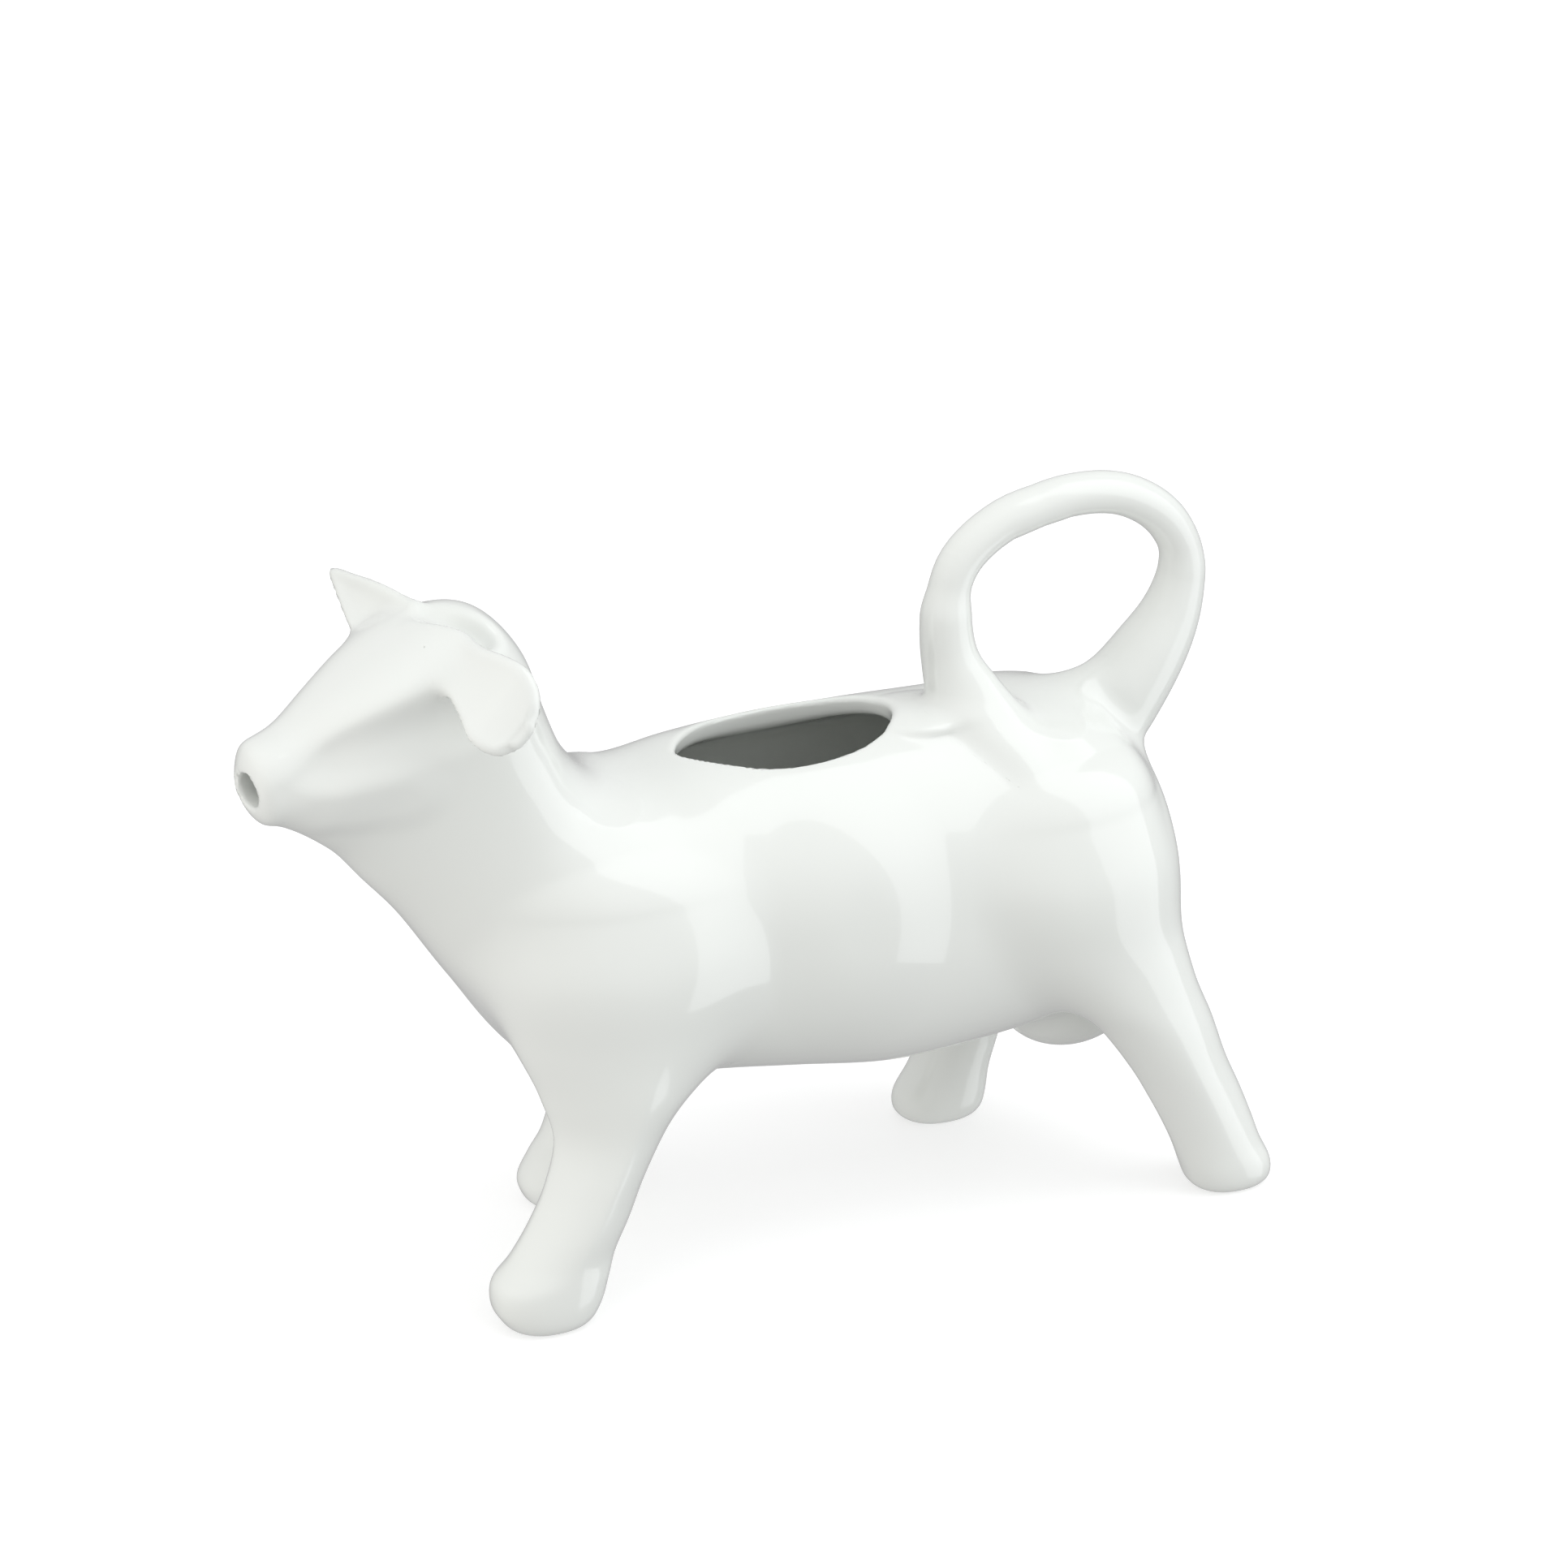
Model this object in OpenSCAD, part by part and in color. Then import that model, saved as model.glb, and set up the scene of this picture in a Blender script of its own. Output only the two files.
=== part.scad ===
// Cow creamer: a milk jug in glazed porcelain, shaped as a walking cow.
// The milk goes in through the oval opening in the back and comes out of the muzzle.
// The tail is the handle. The head points to -X and the cow's left flank is at -Y. It stands on z = 0,
// and the origin lies under the middle of its overall length and width.
// Each casting is a solid of its own. They were luted together with slip before the glaze firing.

/* [Body] */
// Length of the barrel, from the chest to the rump
body_length = 106; // [92:1:124]
// Width of the barrel
body_width = 45; // [40:1:52]
// Height of the barrel, from the belly to the back
body_height = 57; // [50:1:64]
// Thickness of the cast wall
wall = 3; // [2:0.5:4]

/* [Filling opening] */
// Length of the opening in the back
opening_length = 35; // [26:1:40]
// Width of the opening in the back
opening_width = 22; // [16:1:25]
// Middle of the opening along the body
opening_centre = -5.2; // [-9:0.1:-1]

/* [Head] */
// Reach of the muzzle in front of the chest
head_reach = 44; // [38:1:52]
// Height of the poll above the back
head_rise = 28; // [24:1:36]
// Width of the head across the cheeks
head_width = 26; // [23:1:30]
// Bore of the pouring hole in the muzzle
spout_bore = 5; // [3:0.5:6]

/* [Ears] */
// Length of an ear from the side of the head to its tip
ear_length = 20; // [16:1:26]
// Width of the left ear at its broadest, which the right ear follows
ear_width = 12; // [9:1:15]
// Thickness of an ear
ear_thickness = 3.2; // [2.4:0.2:4.4]

/* [Legs] */
// Height of the belly above the table
belly_height = 25; // [20:1:32]
// Thickness of a leg below the knee, along the body
leg_thickness = 14; // [12:0.5:17]

/* [Tail handle] */
// Height of the tail loop above the back
tail_rise = 32; // [27:1:38]
// Thickness of the tail where the finger holds it
tail_thickness = 6.6; // [5:0.2:8]

/* [Udder] */
// Length of the udder
udder_length = 24; // [18:1:28]
// Width of the udder
udder_width = 18; // [14:1:22]
// Depth of the udder's lowest point below the belly
udder_depth = 7; // [5:0.5:9]

/* [Hidden] */

glaze = "WhiteSmoke";

// The outlines below are drawn at one size. These lines of the drawing move with the sizes above.
drawn_chest_x = -50;
drawn_rump_x = 56;
drawn_muzzle_x = -94;
drawn_belly_z = 25;
drawn_back_z = 82;
drawn_poll_z = 110;
drawn_tail_z = 114;
drawn_body_width = 45;
drawn_head_width = 26;
drawn_leg_thickness = 14;
drawn_tail_thickness = 6.6;
drawn_ear_length = 20;
drawn_ear_width = 12;

mid_x = (drawn_rump_x + drawn_chest_x) / 2;
chest_x = mid_x - body_length / 2;
back_z = belly_height + body_height;
length_ratio = body_length / (drawn_rump_x - drawn_chest_x);
height_ratio = body_height / (drawn_back_z - drawn_belly_z);
width_ratio = body_width / drawn_body_width;
head_ratio = head_width / drawn_head_width;
leg_ratio = leg_thickness / drawn_leg_thickness;
tail_ratio = tail_thickness / drawn_tail_thickness;
ear_reach_ratio = ear_length / drawn_ear_length;
ear_width_ratio = ear_width / drawn_ear_width;
reach_ratio = head_reach / (drawn_chest_x - drawn_muzzle_x);
rise_ratio = head_rise / (drawn_poll_z - drawn_back_z);
loop_ratio = tail_rise / (drawn_tail_z - drawn_back_z);

// Real places of the drawing's own places
function real_x(x) = x > drawn_chest_x ? mid_x + (x - mid_x) * length_ratio
                                       : chest_x + (x - drawn_chest_x) * reach_ratio;
function real_z(z, ratio) = z < drawn_belly_z ? z * belly_height / drawn_belly_z
                          : z < drawn_back_z ? belly_height + (z - drawn_belly_z) * height_ratio
                          : back_z + (z - drawn_back_z) * ratio;

// Facets
spine_steps = 4;
spine_sides = 36;
cavity_sides = 28;
leg_steps = 2;
leg_sides = 24;
tail_steps = 4;
tail_sides = 12;
ear_sides = 16;
dome_steps = 4;
udder_steps = 12;

// Spine of the barrel, the neck and the head, as slices from the rump to the muzzle:
// x and z of the slice's top, x and z of its bottom, half width, squareness, how much wider it is
// above than below, and how far the head has turned to the cow's left
spine = [
    [52.3, 69.5, 54, 37, 14.5, 2.3, 0, 0],
    [46.5, 77, 47.5, 30.5, 19.5, 2.3, 0, 0],
    [36, 80.8, 36, 26.6, 21.5, 2.3, 0, 0],
    [22, 81.4, 22, 25, 22, 2.3, 0, 0],
    [8, 82, 8, 24.8, 22.5, 2.3, 0, 0],
    [-8, 82.2, -8, 27.5, 22.5, 2.3, 0, 0],
    [-21, 81.3, -23, 30, 22.5, 2.3, 0, 0],
    [-30.5, 79.8, -37.5, 31, 22, 2.3, 0, 0],
    [-37.6, 80.8, -50.5, 37.5, 20.5, 2.25, 0, 0],
    [-43.2, 86.4, -60.5, 51, 17.5, 2.2, 0.02, -0.2],
    [-45.6, 95.2, -68.8, 63.5, 15, 2.2, 0.08, -0.6],
    [-49.4, 104.4, -75, 71, 13.8, 2.2, 0.14, -1.2],
    [-56, 111.4, -79, 76, 13, 2.3, 0.2, -1.9],
    [-65.5, 111.2, -82.5, 79.2, 11.8, 2.4, 0.26, -2.8],
    [-73.5, 107.4, -85.5, 81.6, 10, 2.5, 0.27, -3.6],
    [-80.6, 103.4, -88, 83.4, 7.9, 2.5, 0.22, -4.3],
    [-87.2, 99.4, -90.5, 84.9, 6.4, 2.3, 0.12, -4.9],
    [-93, 97.8, -93.2, 85.6, 6.1, 2.2, 0, -5.4],
];
neck_base = 9;
neck_seam = 10;
cavity_end = 15;
rump_bulge = 4;
muzzle_bulge = 1.6;
cavity_bulge = 3;
// Growth of the wall at each slice in front of the neck seam
head_wall_growth = 0.3;

// Legs, from the sole up: z, x, y, half length along the body, half width across it, squareness
front_left = [
    [0, -53.4, -19, 6, 5.2, 2.2],
    [1.5, -53.4, -19, 7.4, 6.2, 2.3],
    [4, -53.4, -19, 8.7, 6.6, 2.3],
    [7.5, -52.8, -19, 9.2, 6.6, 2.2],
    [11, -50.8, -18.9, 8.3, 6.3, 2.2],
    [16, -47.8, -18.6, 7.6, 6.2, 2.1],
    [22, -44.8, -18, 7.4, 6.5, 2.1],
    [29, -41.6, -17, 8.6, 7.2, 2.1],
    [36, -39.4, -15.6, 12.4, 9, 2.1],
    [45, -38.4, -14.2, 16.5, 10.6, 2.1],
    [56, -38.4, -13, 18.6, 11.6, 2.1],
    [66, -38.8, -10.4, 14.5, 10, 2.1],
    [74, -39.4, -6.5, 8, 6, 2.1],
];
front_right = [
    [0, -34.6, 16.8, 6, 5.2, 2.2],
    [1.5, -34.6, 16.8, 7.2, 6.2, 2.3],
    [4, -34.4, 16.8, 7.9, 6.5, 2.3],
    [7.5, -33, 16.8, 7.6, 6.3, 2.2],
    [11, -31.2, 17, 7, 6.1, 2.2],
    [16, -30, 17.2, 6.9, 6.1, 2.1],
    [22, -30.4, 17.3, 7.3, 6.5, 2.1],
    [29, -32.5, 17, 9, 7.2, 2.1],
    [36, -35.5, 15.6, 12.5, 9, 2.1],
    [45, -37.6, 14.2, 16, 10.6, 2.1],
    [56, -38.4, 13, 18.6, 11.6, 2.1],
    [66, -38.8, 10.4, 14.5, 10, 2.1],
    [74, -39.4, 6.5, 8, 6, 2.1],
];
rear_left = [
    [0, 61.4, -22, 5.6, 4.8, 2.2],
    [1.5, 61.2, -22, 6.8, 5.7, 2.3],
    [4, 60.6, -22, 7.2, 6, 2.3],
    [7.5, 59.2, -21.8, 7, 5.9, 2.2],
    [11, 57.9, -21.5, 7.1, 5.9, 2.2],
    [16, 55.8, -21, 7.4, 6, 2.1],
    [22, 53, -20.2, 7.8, 6.4, 2.1],
    [29, 49.6, -19, 9, 7.2, 2.1],
    [36, 45.4, -17.2, 11, 8.6, 2.1],
    [45, 40.9, -15, 13.8, 10.2, 2.1],
    [56, 37.4, -13.2, 16.4, 11.4, 2.1],
    [66, 36.6, -10.4, 13.5, 10, 2.1],
    [74, 36.6, -6.5, 7.5, 6, 2.1],
];
rear_right = [
    [0, 30.4, 18.3, 6, 5, 2.2],
    [1.5, 30.4, 18.3, 7.2, 5.8, 2.3],
    [4, 30.8, 18.3, 7.4, 6, 2.3],
    [7.5, 32.2, 18.4, 6.6, 5.8, 2.2],
    [11, 33.6, 18.5, 6.2, 5.8, 2.2],
    [16, 35.3, 18.5, 6.3, 5.9, 2.1],
    [22, 37.4, 18.2, 7, 6.3, 2.1],
    [29, 39.4, 17.5, 8.4, 7.2, 2.1],
    [36, 40.4, 16.5, 10.8, 8.6, 2.1],
    [45, 39.8, 14.8, 14, 10.2, 2.1],
    [56, 37.4, 13.2, 16.4, 11.4, 2.1],
    [66, 36.6, 10.4, 13.5, 10, 2.1],
    [74, 36.6, 6.5, 7.5, 6, 2.1],
];
leg_top_bulge = 4;

// Tail, from its root in the rump, over the loop and down to its tip on the left haunch: x, y, z, radius
tail = [
    [46.2, 0, 67.4, 6],
    [52.6, 0, 74.3, 5.6],
    [57.9, 0, 81.6, 4.7],
    [61.6, 0, 89, 3.8],
    [62.7, 0, 97.2, 3.3],
    [59, 0, 104.8, 3.3],
    [51.6, 0, 109.8, 3.3],
    [42.2, 0, 111, 3.3],
    [32, 0, 109, 3.3],
    [24.4, -0.3, 103.8, 3.3],
    [21.7, -1, 96.2, 3.3],
    [22.2, -2.4, 88.8, 3.7],
    [24.4, -5, 83.2, 4.6],
    [28, -9, 77.6, 5.4],
    [32.4, -12.2, 71, 5.4],
    [36.4, -13.2, 64.5, 4.6],
];
// Ridge along the croup that the tail grows out of
tail_root = [
    [31, 0, 72.8, 3.4],
    [39, 0, 74.4, 3.8],
    [46, 0, 77.4, 4],
    [52, 0, 79.8, 4.2],
    [57.4, 0, 83.8, 3.9],
];

// Ears, from the root inside the head to the tip: y, x and z of the upper edge, x and z of the lower
// edge, share of the full thickness
left_ear_rows = [
    [-3, -62, 111.4, -66, 107.4, 1],
    [-6, -61.6, 111.5, -66.4, 107, 1],
    [-9, -60.8, 111.2, -66.4, 106.4, 1],
    [-12, -60.2, 110.8, -66.6, 105.6, 1],
    [-16, -59.8, 111, -65.8, 104.4, 1],
    [-20, -58.6, 111.3, -65.7, 102.6, 1],
    [-24, -57.2, 110.9, -66, 100.8, 0.95],
    [-26.2, -56.6, 109, -65, 99.8, 0.85],
    [-27.6, -57, 106.4, -63.4, 99.6, 0.75],
    [-28.6, -58.4, 103.6, -61.4, 100.8, 0.6],
];
right_ear_rows = [
    [2.5, -63, 108.6, -70, 103.4, 1],
    [7, -63.8, 111.6, -70.6, 104.4, 1],
    [12.5, -65.4, 111.5, -69.9, 105.7, 1],
    [17.5, -66.7, 111, -69.2, 106.9, 0.9],
    [22, -67.6, 110.4, -68.6, 108.2, 0.85],
    [24, -67.9, 109.9, -68.3, 109, 0.7],
];
ear_hollow = 2;

udder_x = 44;
udder_rise = 3;

// Pouring hole: place on the muzzle's face, and the way out
spout_tip = [-94, -5.4, 91];
spout_way = [-0.975, -0.13, -0.17];
spout_reach = 20;
spout_outside = 4;

// Smooth curve through the rows of a list
function curve_point(a, b, c, d, t) =
    (2 * b + (c - a) * t + (2 * a - 5 * b + 4 * c - d) * t * t + (3 * b - a - 3 * c + d) * t * t * t) / 2;
function curve(rows, steps) =
    let (n = len(rows) - 1)
    [for (i = [0:n - 1], s = [0:steps - 1])
        curve_point(i > 0 ? rows[i - 1] : 2 * rows[0] - rows[1], rows[i], rows[i + 1],
                    i < n - 1 ? rows[i + 2] : 2 * rows[n] - rows[n - 1], s / steps),
     rows[n]];
function part_of(list, first, last) = [for (i = [first:last]) list[i]];
function power(x, e) = sign(x) * pow(abs(x), e);

// One slice of the spine as centre x z, half height vector x z, half width, squareness, spread, turn
function slice(i) =
    let (s = spine[i],
         top = [real_x(s[0]), real_z(s[1], rise_ratio)],
         bottom = [real_x(s[2]), real_z(s[3], rise_ratio)],
         ratio = i < neck_base ? width_ratio : i > neck_seam ? head_ratio : (width_ratio + head_ratio) / 2)
    concat((top + bottom) / 2, (top - bottom) / 2, [s[4] * ratio, s[5], s[6], s[7]]);
function half_height(s) = norm([s[2], s[3]]);
function inset(s, t) =
    let (k = (half_height(s) - t) / half_height(s))
    [s[0], s[1], s[2] * k, s[3] * k, s[4] - t, s[5], s[6], s[7]];
function slice_ring(s, sides) =
    [for (j = [0:sides - 1])
        let (a = 360 * j / sides,
             across = power(cos(a), 2 / s[5]),
             up = power(sin(a), 2 / s[5]))
        [s[0] + s[2] * up, s[7] + s[4] * across * (1 + s[6] * up), s[1] + s[3] * up]];
// Slices that close an end as a shallow dome. Way is 1 towards the head and -1 towards the rump.
function dome_axis(s, way) = [-s[3], s[2]] / half_height(s) * way;
function dome(s, depth, way) =
    let (axis = dome_axis(s, way))
    [for (i = [1:dome_steps - 1])
        let (a = 90 * i / dome_steps, k = pow(cos(a), 0.8))
        [s[0] + axis[0] * depth * sin(a), s[1] + axis[1] * depth * sin(a),
         s[2] * k, s[3] * k, s[4] * k, s[5], s[6], s[7]]];
function dome_tip(s, depth, way) =
    let (axis = dome_axis(s, way))
    [s[0] + axis[0] * depth, s[7], s[1] + axis[1] * depth];
function backwards(list) = [for (i = [len(list) - 1:-1:0]) list[i]];

last_slice = len(spine) - 1;
outer = curve([for (i = [0:last_slice]) slice(i)], spine_steps);
inner = curve([for (i = [0:cavity_end]) inset(slice(i), wall + max(0, i - neck_seam) * head_wall_growth)],
              spine_steps);
seam = neck_seam * spine_steps;

// A leg: below the belly it has its own thickness, and above it grows with the barrel
function leg_ring(r) =
    let (k = max(0, min(1, (r[0] - drawn_belly_z) / 20)),
         half_x = r[3] * (leg_ratio * (1 - k) + length_ratio * k),
         half_y = r[4] * (leg_ratio * (1 - k) + width_ratio * k),
         x = real_x(r[1]), y = r[2] * width_ratio, z = real_z(r[0], height_ratio))
    [for (j = [0:leg_sides - 1])
        let (a = 360 * j / leg_sides)
        [x + half_x * power(cos(a), 2 / r[5]), y + half_y * power(sin(a), 2 / r[5]), z]];

// How far an ear reaches sideways
function ear_tip_y(rows) =
    rows[0][0] * head_ratio + (rows[len(rows) - 1][0] - rows[0][0]) * ear_reach_ratio;

// The outermost points, which put the origin in the middle
leg_points = [for (rows = [front_left, front_right, rear_left, rear_right], r = curve(rows, leg_steps))
    each leg_ring(r)];
front_x = dome_tip(outer[len(outer) - 1], muzzle_bulge, 1)[0];
rear_x = max([for (p = leg_points) p[0]]);
left_y = min(min([for (p = leg_points) p[1]]), ear_tip_y(left_ear_rows));
right_y = max(max([for (p = leg_points) p[1]]), ear_tip_y(right_ear_rows));

module placed() {
    translate([-(front_x + rear_x) / 2, -(left_y + right_y) / 2, 0])
        children();
}

// A solid through rings of points. Each end is flat, or runs to a point where one is given.
module through(rings, start, end) {
    n = len(rings[0]);
    m = len(rings);
    first = m * n;
    last = is_undef(start) ? first : first + 1;
    polyhedron(
        points = concat([for (r = rings, p = r) p],
                        is_undef(start) ? [] : [start],
                        is_undef(end) ? [] : [end]),
        faces = concat(
            is_undef(start) ? [[for (j = [n - 1:-1:0]) j]]
                            : [for (j = [0:n - 1]) [first, (j + 1) % n, j]],
            [for (i = [0:m - 2], j = [0:n - 1], k = [0, 1])
                let (a = i * n + j, b = i * n + (j + 1) % n)
                k == 0 ? [a, b, a + n] : [b, b + n, a + n]],
            is_undef(end) ? [[for (j = [0:n - 1]) (m - 1) * n + j]]
                          : [for (j = [0:n - 1]) [last, (m - 1) * n + j, (m - 1) * n + (j + 1) % n]]),
        convexity = 6);
}

// A solid along the spine, from a flat end to the point of a dome. Way is as for the dome.
module spine_solid(slices, bulge, way, sides) {
    rings = [for (s = concat(slices, dome(slices[len(slices) - 1], bulge, way))) slice_ring(s, sides)];
    through(way > 0 ? rings : [for (r = rings) backwards(r)],
            end = dome_tip(slices[len(slices) - 1], bulge, way));
}

module barrel() {
    spine_solid(backwards(part_of(outer, 0, seam)), rump_bulge, -1, spine_sides);
}

module barrel_cavity() {
    spine_solid(backwards(part_of(inner, 0, seam + 1)), rump_bulge, -1, cavity_sides);
}

module head() {
    spine_solid(part_of(outer, seam, len(outer) - 1), muzzle_bulge, 1, spine_sides);
}

module head_cavity() {
    spine_solid(part_of(inner, seam - 1, len(inner) - 1), cavity_bulge, 1, cavity_sides);
}

module body_shell() {
    color(glaze) placed() difference() {
        barrel();
        barrel_cavity();
        translate([real_x(opening_centre), 0, back_z - body_height / 2])
            linear_extrude(body_height)
                scale([opening_length / opening_width, 1])
                    circle(d = opening_width, $fn = 64);
    }
}

spout_end = [real_x(spout_tip[0]), spout_tip[1], real_z(spout_tip[2], rise_ratio)];

module along(direction) {
    flat = norm([direction[0], direction[1]]);
    rotate([0, atan2(flat, direction[2]), atan2(direction[1], direction[0])])
        children();
}

module head_spout() {
    color(glaze) placed() difference() {
        head();
        head_cavity();
        translate(spout_end)
            along(-spout_way)
                translate([0, 0, -spout_outside])
                    cylinder(d = spout_bore, h = spout_reach + spout_outside, $fn = 48);
    }
}

module leg_form(rows) {
    top = rows[len(rows) - 1];
    closing = [for (i = [1:dome_steps - 1])
        let (a = 90 * i / dome_steps)
        [top[0] + leg_top_bulge * sin(a), top[1], top[2], top[3] * cos(a), top[4] * cos(a), top[5]]];
    through([for (r = concat(curve(rows, leg_steps), closing)) backwards(leg_ring(r))],
            end = [real_x(top[1]), top[2] * width_ratio, real_z(top[0] + leg_top_bulge, height_ratio)]);
}

module leg(rows) {
    color(glaze) placed() difference() {
        leg_form(rows);
        barrel();
    }
}

// A round bar along a path that lies about level with the middle plane
module bar(rows) {
    path = curve([for (r = rows) [real_x(r[0]), r[1] * width_ratio, real_z(r[2], loop_ratio), r[3] * tail_ratio]],
                 tail_steps);
    n = len(path);
    through([for (i = [0:n - 1])
        let (p = path[i], q = path[min(i + 1, n - 1)] - path[max(i - 1, 0)],
             t = [q[0], q[1], q[2]] / norm([q[0], q[1], q[2]]),
             side = cross([0, 1, 0], t) / norm(cross([0, 1, 0], t)),
             up = cross(t, side))
        [for (j = [0:tail_sides - 1])
            let (a = 360 * j / tail_sides)
            [p[0], p[1], p[2]] + (side * sin(a) + up * cos(a)) * p[3]]]);
}

module tail_handle() {
    color(glaze) placed() difference() {
        union() {
            bar(tail);
            bar(tail_root);
        }
        barrel();
    }
}

// An ear: a thin leaf between its upper and lower edge, hollow in front
module ear(rows) {
    root = rows[0];
    root_mid = [(root[1] + root[3]) / 2, root[0], (root[2] + root[4]) / 2];
    place = [real_x(root_mid[0]), root_mid[1] * head_ratio, real_z(root_mid[2], rise_ratio)];
    leaf = curve(rows, 2);
    rings = [for (r = leaf)
        let (mid = [(r[1] + r[3]) / 2, r[0], (r[2] + r[4]) / 2],
             half = [r[1] - r[3], 0, r[2] - r[4]] / 2 * ear_width_ratio,
             back = [half[2], 0, -half[0]] / norm(half),
             bend = ear_hollow * norm(half) * 2 / ear_width)
        [for (j = [0:ear_sides - 1])
            let (a = 360 * j / ear_sides)
            place + (mid - root_mid) * ear_reach_ratio + half * cos(a)
            + back * (bend * (0.5 - pow(cos(a), 2)) + ear_thickness / 2 * r[5] * sin(a))]];
    color(glaze) placed() difference() {
        through(root[0] < 0 ? rings : [for (r = rings) backwards(r)]);
        head();
    }
}

module udder_form() {
    centre = [real_x(udder_x), 0, belly_height + udder_rise];
    half = [udder_length / 2, udder_width / 2, udder_depth + udder_rise];
    through([for (i = [1:udder_steps - 1])
                let (t = 180 * i / udder_steps)
                [for (j = [0:leg_sides - 1])
                    let (a = 360 * j / leg_sides)
                    centre + [-half[0] * cos(t), half[1] * sin(t) * sin(a), half[2] * sin(t) * cos(a)]]],
            centre - [half[0], 0, 0], centre + [half[0], 0, 0]);
}

module left_ear() {
    ear(left_ear_rows);
}

module right_ear() {
    ear(right_ear_rows);
}

module front_left_leg() {
    leg(front_left);
}

module front_right_leg() {
    leg(front_right);
}

module rear_left_leg() {
    leg(rear_left);
}

module rear_right_leg() {
    leg(rear_right);
}

module udder() {
    color(glaze) placed() difference() {
        udder_form();
        barrel();
    }
}

body_shell();
head_spout();
left_ear();
right_ear();
front_left_leg();
front_right_leg();
rear_left_leg();
rear_right_leg();
tail_handle();
udder();
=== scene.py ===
"""Cow creamer in white glazed porcelain, on a pale table under soft studio light.

Lengths are millimetres and places are in the drawing's own frame: the muzzle points to -x, the
left flank is at -y and the table is z = 0. They turn into metres, and into the frame of the
model, when a mesh is made. The whole cow is one field, negative inside the porcelain, so the
glaze runs over the joins between the castings. Each casting is then parted from the whole along
its join, as a closed piece of its own.
"""
import math

import bmesh
import bpy
import numpy as np
from mathutils import Matrix, Vector


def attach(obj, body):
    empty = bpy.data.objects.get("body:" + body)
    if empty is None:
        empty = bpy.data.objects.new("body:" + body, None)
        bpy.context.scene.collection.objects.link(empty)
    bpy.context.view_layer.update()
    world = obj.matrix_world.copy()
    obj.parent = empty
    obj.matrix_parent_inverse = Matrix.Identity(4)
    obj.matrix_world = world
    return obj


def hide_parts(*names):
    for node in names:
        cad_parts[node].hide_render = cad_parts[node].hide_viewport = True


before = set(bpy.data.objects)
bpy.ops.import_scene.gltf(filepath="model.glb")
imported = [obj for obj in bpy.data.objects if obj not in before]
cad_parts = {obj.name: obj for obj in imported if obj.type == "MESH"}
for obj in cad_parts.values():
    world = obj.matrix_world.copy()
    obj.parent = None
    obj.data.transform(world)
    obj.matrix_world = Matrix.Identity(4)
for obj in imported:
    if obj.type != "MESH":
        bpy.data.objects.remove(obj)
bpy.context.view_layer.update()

MM = 0.001
# Place in the drawing of the model's origin
ORIGIN = np.array([-13.29, -1.75, 0.0])

# Wall of the barrel and the neck, how much thicker the head is cast, and the place along the neck
# where the wall begins to grow, with the length over which it does
WALL = 3.0
HEAD_WALL_GROWTH = 2.0
HEAD_WALL_START = -48.0
HEAD_WALL_LENGTH = 10.0

# Filling opening in the back: its centre and half sizes, how pointed its front is, and the
# height that it is cut down to
OPENING_CENTRE = (-5.2, 0.0)
OPENING_HALF = (17.6, 10.4)
OPENING_POINT = 0.35
OPENING_FLOOR = 60.0

# Pouring hole: place on the muzzle's face, the way in and its radius, how much wider its flare is
# at most, and the depth over which the flare dies away, from where it starts and within a range
HOLE_TIP = np.array([-94.0, -6.4, 91.4])
HOLE_WAY = np.array([0.93, 0.30, 0.17])
HOLE_RADIUS = 2.5
HOLE_FLARE = 0.35
HOLE_FLARE_DEPTH = 1.2
HOLE_FLARE_START = -0.6
HOLE_FLARE_RANGE = (-2, 20)
# How far the hole's cut reaches before and behind that place
HOLE_BEFORE = 8
HOLE_BEHIND = 30

# Rounding of the edges where the hollow, the filling opening and the pouring hole are cut
HOLLOW_ROUNDING = 0.8
OPENING_ROUNDING = 1.0
HOLE_ROUNDING = 1.2

# Mesh: spacing of the grid, how many of its cells make a coarse one, how near to the surface a
# coarse cell counts, and the spacing of the lattice that the sections are kept on
GRID = 0.6
COARSE = 4
NEAR_CELLS = 1.9
LATTICE_STEP = 0.5
# Rounds of smoothing that even out the bends from one slice of the spine to the next
SPINE_SOFTENING = 6
# Rounds that even the quads out, and how far a point goes in each towards its neighbours' middle
RELAX_ROUNDS = 3
RELAX_SHARE = 0.5
# Longest way that a point is moved onto the surface at once, the step that finds the slope, and
# the least square of a slope that is counted with
SETTLE_CAP = 0.4
SETTLE_STEP = 0.05
LEAST_STEEPNESS = 1e-3
# Lowest and highest corners of the space that is meshed, and the corners of one cell of a grid
LOW = np.array([-102.0, -32.0, -3.0])
HIGH = np.array([72.0, 32.0, 118.0])
CORNERS = [(a, b, c) for a in (0, 1) for b in (0, 1) for c in (0, 1)]
# Points worked out at a time, a field's value where its form is out of reach, and a squared
# distance that stands for none
CHUNK = 250000
FAR = 1000.0
UNFOUND = 1e9
# How far inside the surface a filled corner is taken to lie, as a share of the grid
JUST_INSIDE = 0.01
# Least values that a quotient is divided by
SMALL = 1e-6
TINY = 1e-9

# Width of the blend where each casting joins the barrel or the head. The tail's grows towards
# its root, from the given place on and over the given length, and its web is the blend between
# its foot and its heel
LEG_BLEND = 7.0
UDDER_BLEND = 4.0
CROUP_BLEND = 5.0
TAIL_BLEND = 2.8
TAIL_ROOT_BLEND = 2.4
TAIL_ROOT_START = 44
TAIL_ROOT_LENGTH = 8
TAIL_WEB = 4.0
EAR_BLEND = 2.6

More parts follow.
